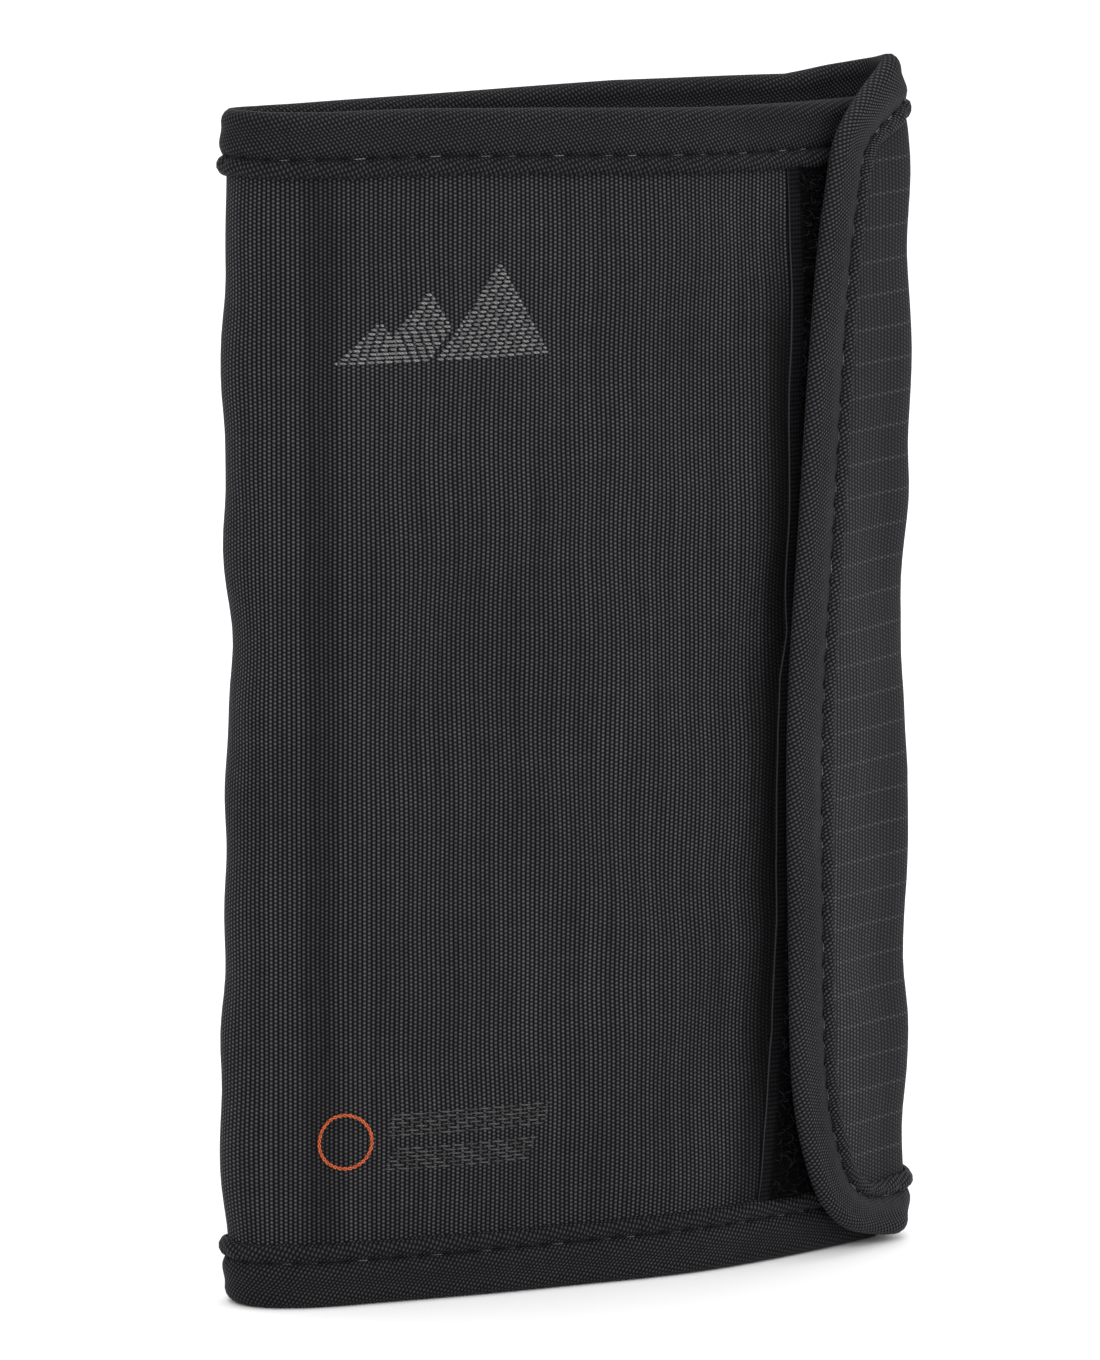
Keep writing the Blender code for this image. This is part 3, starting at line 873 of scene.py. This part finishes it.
def add_panels():
    """The outer fabric and the lining all the way round, their edges hidden in the bindings."""
    parts = ((FRONT, "cover", "spine"), (NEAR_BACK, "back", "spine"), (FAR_BACK, "back", "wrap"))
    for length, panel, fold in parts:
        s = length.steps(PANEL_STEP)
        if length is FRONT:
            s = np.append(HIDDEN, s[s > HIDDEN])
        nodes = ([f"{body}_{layer}" for body in (panel, fold)] for layer in ("shell", "lining"))
        # the front's outer fabric gets painted shade beside the loop strip
        shade = painted_loop_shade if length is FRONT else None
        add_cloth(length, s, bottom_z(s) + HIDDEN, top_z(s) - HIDDEN, *nodes, shade)
    s_end = FLAP_EDGE[:, 0].max() - FLAP_HIDDEN - 1.4
    s = S_WRAP + (s_end - S_WRAP) * np.sin(np.linspace(0, math.pi / 2, 60))
    low, high = flap_span(s, FLAP_HIDDEN)
    add_cloth(FLAP, s, low, high, ["flap_shell", "wrap_shell"], ["flap_lining", "wrap_lining"])


def bind(name, length, outline, inward, nodes, phase=0.0):
    """A binding over the edges of the whole stack, and its two rows of stitches."""
    binding = tape(outline, inward, phase)
    length.add(put(f"{name}_tape", binding, TAPE, 60), *nodes)
    sewn = stitches(outline, inward, stack, phase)
    length.add(put(f"{name}_stitches", sewn, THREAD, 80))


def add_bindings():
    """The bindings along the straight edges, round the flap and down the cover's free edge."""
    sides = {"front": ("cover", "spine"), "near_back": ("back", "spine"), "far_back": ("back", "wrap")}
    for length in (FRONT, NEAR_BACK, FAR_BACK):
        for edge, which, inward in ((top_z, "top", -1.0), (bottom_z, "bottom", 1.0)):
            outline = edge_line(length.s0, length.s1, edge)
            into = np.tile([0.0, inward], (len(outline), 1))
            nodes = [f"{panel}_binding_{which}" for panel in sides[length.name]]
            bind(f"{length.name}_{which}", length, outline, into, nodes, length.s0)
    nodes = ["flap_binding", "wrap_binding_top", "wrap_binding_bottom"]
    bind("flap", FLAP, FLAP_EDGE, eased(inward_of(FLAP_EDGE), 9.0), nodes, S_WRAP)
    z0, z1 = BOTTOM_EDGE[0][1] + TAPE_WIDTH - 0.4, TOP_EDGE[0][1] - TAPE_WIDTH + 0.4
    z = np.linspace(z0, z1, int((z1 - z0) / FINE))
    side = np.stack([np.zeros_like(z), z], axis=1)
    bind("front_side", FRONT, side, np.tile([1.0, 0.0], (len(z), 1)), ["cover_binding_side"])


def add_tape_ends():
    """The ends of the cover's top and bottom tapes, tucked in at its free edge."""
    s = np.linspace(0.1, 1.3, 4)
    inset = 0.5
    heights = {
        "top": (top_z(s) - TAPE_WIDTH + inset, top_z(s) - inset),
        "bottom": (bottom_z(s) + inset, bottom_z(s) + TAPE_WIDTH - inset),
    }
    for which, (low, high) in heights.items():
        tucked = slab(s, low, high, lambda a, b: 0.4 + 0 * b, lambda a, b: stack(a) - 0.4 + 0 * b)
        FRONT.add(put(f"front_{which}_tape_end", tucked, TAPE))


def add_stiff_sheets():
    """The plastic sheets and the foil inside the cover and the back."""
    plastic, foil = plastic_sheet(), crumpled_foil()
    spans = {"cover": (cover_s(38), S_CREASE - 3), "back": (back_s(-36), back_s(36))}
    for body, (s0, s1) in spans.items():
        s = np.linspace(s0, s1, 40)
        low, high = bottom_z(s) + TAPE_WIDTH + 1, top_z(s) - TAPE_WIDTH - 1
        for what, depth, material, slot in (
            ("stiffener", STIFFENER, plastic, "stiffener_sheet"), ("rfid_foil", FOIL, foil, "shielding_foil"),
        ):
            piece = put(f"{body}_{what}_sheet", slab(s, low, high, *depth, 4), material)
            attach(piece, body)
            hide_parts(f"{body}_{what}")


# ---------------------------------------------------------------- hook and loop

LOOP_GROUND = 0.55
SELVAGE = 1.8
# the loops are made in four bands, each with this many fibres
PILE_BANDS = (8.5, 43.4, 78.2, 113.1, 148.0)
PILE_COUNT, QUICK_PILE_COUNT = 2250, 150
HOOK_PITCH = (1.1, 1.25)
HOOK_LEAN = np.array([0, 0.02, 0.05, 0.16, 0.36, 0.52, 0.55])
HOOK_TALL = np.array([-0.1, 0.25, 0.6, 0.85, 0.88, 0.72, 0.5])


def fuzz(rng, count, s_range, z_range, ground, height, radius):
    """Fallen and standing loops of fibre on a ground at depth ground(s, z)."""
    found = []
    t = np.linspace(0, 1, 7)
    for _ in range(count):
        z0 = rng.uniform(*z_range)
        low, high = s_range(z0)
        s0 = rng.uniform(low, high)
        heading, reach = rng.uniform(0, 2 * math.pi), rng.uniform(0.7, 2.3)
        curl = rng.uniform(-2.2, 2.2)
        tall = height * rng.uniform(0.35, 1.0)
        angle = heading + curl * t
        s = s0 + np.cumsum(np.cos(angle)) * reach / len(t)
        z = z0 + np.cumsum(np.sin(angle)) * reach / len(t)
        s = np.clip(s, low, high)
        d = ground(s, z) + 0.05 - tall * np.sin(math.pi * np.clip(t * 0.96 + 0.02, 0, 1))
        tilted = out_of(s, z) + [0.01, 0.02, 0.03]
        found.append(thread(place(s, z, d), tilted, radius, rng.random()))
    return joined(found)


def add_loop_strip():
    """The loop strip at the cover's free edge: woven ground, a sewn selvage and a pile of loops."""
    z = np.linspace(BOTTOM_EDGE[0][1] + 6.3, TOP_EDGE[0][1] - 6.6, 150)
    v = np.linspace(0, 1, 30)
    near = 1.6
    s = near + (loop_left(z)[:, None] - near) * v[None, :]
    lifted = LOOP_GROUND * (1 - 0.5 * np.abs(2 * v - 1) ** 8)[None, :]
    base = SHELL[0] - 0.06

    def ground(s, z):
        return base - LOOP_GROUND - swell(s, z)

    zz = np.broadcast_to(z[:, None], s.shape)
    sewn = smoothstep(loop_left(zz) - SELVAGE - 0.4, loop_left(zz) - SELVAGE + 0.2, s)
    faces = (rows(s, zz, base + d - swell(s, zz), sewn) for d in (-lifted, 0.02))
    FRONT.add(put("loop_ground", two_rows(*faces), GROUND), "cover_loop_strip")
    rng = np.random.default_rng(7)
    count = PILE_COUNT
    for band, heights in enumerate(zip(PILE_BANDS, PILE_BANDS[1:])):
        fibres = fuzz(rng, count, lambda h: (2.4, loop_left(h) - SELVAGE), heights, ground, 0.95, 0.045)
        FRONT.add(put(f"loop_pile_{band + 1}", fibres, LOOPS, 80))
    edge = loop_left(z) - 0.12
    cord = thread(place(edge, z, base - 0.30 - swell(edge, z)), out_of(edge, z), 0.13, -0.26)
    FRONT.add(put("loop_edge_cord", cord, THREAD, 80))


def add_hook_strip():
    """Rows of moulded hooks on the inside of the flap."""
    s0, s1 = flap_s(43), FLAP_EDGE[:, 0].max() - TAPE_WIDTH + 0.4
    z0, z1 = 24.0, 134.0
    thick = 0.5
    s = np.linspace(s0, s1, 16)
    faces = (lambda a, b, d=d: lining_inside(a, b) + d for d in (-0.02, thick))
    FLAP.add(put("hook_ground", slab(s, z0, z1, *faces, 2.0), GROUND), "flap_hook_strip")
    found = []
    sideways = np.tile([1.0, 0.03, 0.02], (len(HOOK_LEAN), 1))
    for row, z in enumerate(np.arange(z0 + 1, z1 - 1, HOOK_PITCH[1])):
        for column, a in enumerate(np.arange(s0 + 0.8, s1 - 0.8, HOOK_PITCH[0])):
            odd = column % 2
            sa, za = np.full(len(HOOK_LEAN), a), z + (HOOK_LEAN if odd else -HOOK_LEAN) + 0.5 * odd
            centre = place(sa, za, lining_inside(sa, za) + thick + HOOK_TALL * 0.9)
            found.append(thread(centre, sideways, 0.13, (row * 7 % 5) / 5))
    FLAP.add(put("hooks", joined(found), HOOKS, 80))


# ---------------------------------------------------------------- pockets


HEM, HEM_SEWN = 7.0, 1.4  # how far the hem reaches below the mouth, and how far up it is sewn
POCKET_CLOTH = 0.4
POCKET_FOOT = 2.8
SLOT_TALL, SLOT_STEP = 52, 0.62


def on_back(piece, *nodes):
    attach(piece, "back")
    if nodes:
        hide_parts(*nodes)
    return piece


def pocket(name, add, s, z0, mouth, outer, inner):
    """The cloth of a pocket, which add puts on its panel, and the stitches under the hem at its mouth."""
    shape = slab(s, z0, mouth, outer, inner, SHELL_STEP)
    cloth = add(put(f"{name}_cloth", shape, TAFFETA), name)
    cut_cloth(cloth, s, z0, mouth)
    outline = np.stack([s, np.full_like(s, mouth)], axis=1)
    into = np.tile([0.0, -1.0], (len(s), 1))
    line = HEM - HEM_SEWN
    sewn = stitches(
        outline, into, lambda a: inner(a, mouth - line), line=line, rise=0.02, faces=(False, True),
    )
    add(put(f"{name}_stitches", sewn, THREAD, 80))


def add_passport_pocket():
    """A pocket with a little room in it, on the inside of the cover."""
    mouth, room = 112.0, 0.8
    s0, s1 = 3.0, S_CREASE - 1.0

    def outer(s, z):
        loose = smoothstep(0, 12, s - s0) * smoothstep(0, 12, s1 - s) * smoothstep(0, 25, z - POCKET_FOOT)
        return 0.12 + stack(s) - LINING_INSIDE + room * loose

    def inner(s, z):
        hem = 0.45 * smoothstep(mouth - HEM - 0.5, mouth - HEM, z)
        hem = hem * smoothstep(TAPE_WIDTH + 0.3, TAPE_WIDTH + 2.5, s)
        return outer(s, z) + POCKET_CLOTH + hem * (1 - smoothstep(mouth - 0.7, mouth, z) * 0.5)

    s = np.linspace(s0, s1, 70)
    pocket("passport_pocket", FRONT.add, s, POCKET_FOOT, mouth, outer, inner)


def add_back_pockets():
    """The note pocket on the inside of the back, and three card slots in steps on it."""
    s = np.linspace(back_s(-38), back_s(38), 80)
    mouths = {
        "note_pocket": 138.0, "card_slot_top": 122.0, "card_slot_middle": 106.0, "card_slot_bottom": 90.0,
    }
    for k, (name, mouth) in enumerate(mouths.items()):

        def outer(s, z, depth=0.1 + SLOT_STEP * k):
            return depth + lining_inside(s, z)

        def inner(s, z, outer=outer, mouth=mouth):
            return outer(s, z) + POCKET_CLOTH + 0.2 * smoothstep(mouth - HEM - 0.4, mouth - HEM, z)

        foot = mouth - SLOT_TALL if k else POCKET_FOOT
        pocket(name, on_back, s, foot, mouth, outer, inner)


# ---------------------------------------------------------------- the woven marks


FLOAT_PITCH, FLOAT_GAP, FLOAT_FLAT = 0.54, 0.14, 0.7


def floats(dashes, depth, radius, shade):
    """Short floats of thread on the cover, each from one (s, z) to another."""
    found = []
    t = np.linspace(0, 1, 5)
    lift = np.array([-0.12, 0.03, 0.06, 0.03, -0.12])
    for k, ((s0, z0), (s1, z1)) in enumerate(dashes):
        s, z = s0 + (s1 - s0) * t, z0 + (z1 - z0) * t
        centre = place(s, z, depth - swell(s, z) - lift)
        found.append(thread(centre, out_of(s, z), radius, shade + 0.35 * math.sin(k * 2.1), FLOAT_FLAT))
    return joined(found)


def hatch(regions, float_length):
    """Rows of floats over regions, each a function from a height to the span it fills there."""
    dashes = []
    for region, low, high in regions:
        for row, z in enumerate(np.arange(low, high, FLOAT_PITCH)):
            left, right = region(z)
            if right - left < 0.3:
                continue
            for a in np.arange(left - (row % 2) * float_length / 2, right, float_length):
                s0, s1 = max(a + FLOAT_GAP / 2, left), min(a + float_length - FLOAT_GAP / 2, right)
                if s1 - s0 > 0.25:
                    dashes.append(((s0, z - 0.05), (s1, z + 0.07)))
    return dashes


def peak(middle, base, top, left, right):
    """A mountain: a span at each height, with its foot and its top."""
    def span(z):
        t = (z - base) / (top - base)
        return middle - left * (1 - t), middle + right * (1 - t)

    return span, base, top


def bar(x0, x1, z0, z1):
    """A leaning bar: a span at each height, with its foot and its top."""
    def span(z):
        move = (z - z0) * 0.35
        return cover_s(x1) - move, cover_s(x0) - move

    return span, z0, z1


def ring(middle, radius, count):
    """Dashes round three circles, each a little outside the last."""
    dashes = []
    for turn in range(3):
        r = radius + FLOAT_GAP * turn
        for k in range(count):
            turned = ((k + 0.5 * turn + e) * 2 * math.pi / count for e in (0.02, 0.98))
            dashes.append([(middle[0] + r * math.cos(a), middle[1] + r * math.sin(a)) for a in turned])
    return dashes


def add_marks():
    """A mountain ridge in grey thread, and at the foot an orange ring with two plain bars."""
    depth = SHELL[0] - 0.10
    foot = 126.9
    peaks = ((-14.4, 139.4, 9.2, 6.9), (-24.4, 136.2, 8.4, 5.4), (-31.2, 132.4, 6.2, 4.2))
    first, *others = (peak(cover_s(x), foot, top, right, left) for x, top, left, right in peaks)
    dashes = hatch([first], 1.25)
    for span, low, high in others:
        def clear(z, span=span):
            a, b = span(z)
            return max(a, first[0](z)[1] + 0.9 if z < 139 else a), b

        dashes += hatch([(clear, low, high)], 1.25)
    FRONT.add(put("ridge_emblem", floats(dashes, depth, 0.17, 0.5), GREY_THREAD, 80))

    dashes = ring((cover_s(-36.3), 22.4), 3.5, 34)
    FRONT.add(put("orange_ring", floats(dashes, depth, 0.10, 0.6), ORANGE_THREAD, 80))

    dashes = hatch([bar(-30.9, -8.3, 23.0, 26.1), bar(-30.9, -10.4, 18.4, 21.5)], 1.9)
    FRONT.add(put("plain_bars", floats(dashes, depth, 0.13, 0.4), DIM_THREAD, 80))


# ---------------------------------------------------------------- studio


def add_studio():
    """A white world, a sheet of paper to stand on, and three lamps."""
    scene = bpy.context.scene
    scene.view_settings.view_transform = "Standard"
    world = bpy.data.worlds.new("studio")
    world.use_nodes = True
    background = world.node_tree.nodes["Background"]
    background.inputs["Color"].default_value = (1, 1, 1, 1)
    background.inputs["Strength"].default_value = 1.0
    scene.world = world
    bpy.ops.mesh.primitive_plane_add(size=30)
    floor = bpy.context.object
    floor.name = "floor"
    paper = bpy.data.materials.new("paper")
    paper.use_nodes = True
    surface = paper.node_tree.nodes["Principled BSDF"]
    surface.inputs["Base Color"].default_value = (*PAPER, 1)
    surface.inputs["Roughness"].default_value = 0.9
    floor.data.materials.append(paper)
    lit = Vector((0, 0, 0.08))
    for name, where, size, watts in (
        ("key", (-0.9, -1.3, 1.1), 0.9, 14.0),
        ("fill", (1.2, -1.0, 0.8), 1.0, 9.0),
        ("over", (0.1, 0.3, 1.6), 1.2, 9.0),
    ):
        data = bpy.data.lights.new(name, "AREA")
        data.size, data.energy = size, watts
        lamp = bpy.data.objects.new(name, data)
        lamp.location = where
        lamp.rotation_euler = (lit - lamp.location).to_track_quat("-Z", "Y").to_euler()
        scene.collection.objects.link(lamp)


def add_camera():
    """The camera stands 2 m off, 27 degrees to the left of square and 10.6 degrees up."""
    azimuth, elevation, distance = math.radians(-27.0), math.radians(10.6), 2.023
    target = Vector((-0.0027, 0.0027, 0.0809))
    level = math.cos(elevation)
    back = Vector((math.sin(azimuth) * level, -math.cos(azimuth) * level, math.sin(elevation)))
    data = bpy.data.cameras.new("camera")
    data.sensor_width, data.lens = 36.0, 402.3
    camera = bpy.data.objects.new("camera", data)
    camera.location = target + back * distance
    camera.rotation_euler = (-back).to_track_quat("-Z", "Y").to_euler()
    bpy.context.scene.collection.objects.link(camera)
    bpy.context.scene.camera = camera


SWELLED = simulated_swelling()
add_panels()
add_bindings()
add_tape_ends()
add_stiff_sheets()
add_loop_strip()
add_hook_strip()
add_passport_pocket()
add_back_pockets()
add_marks()
add_studio()
add_camera()
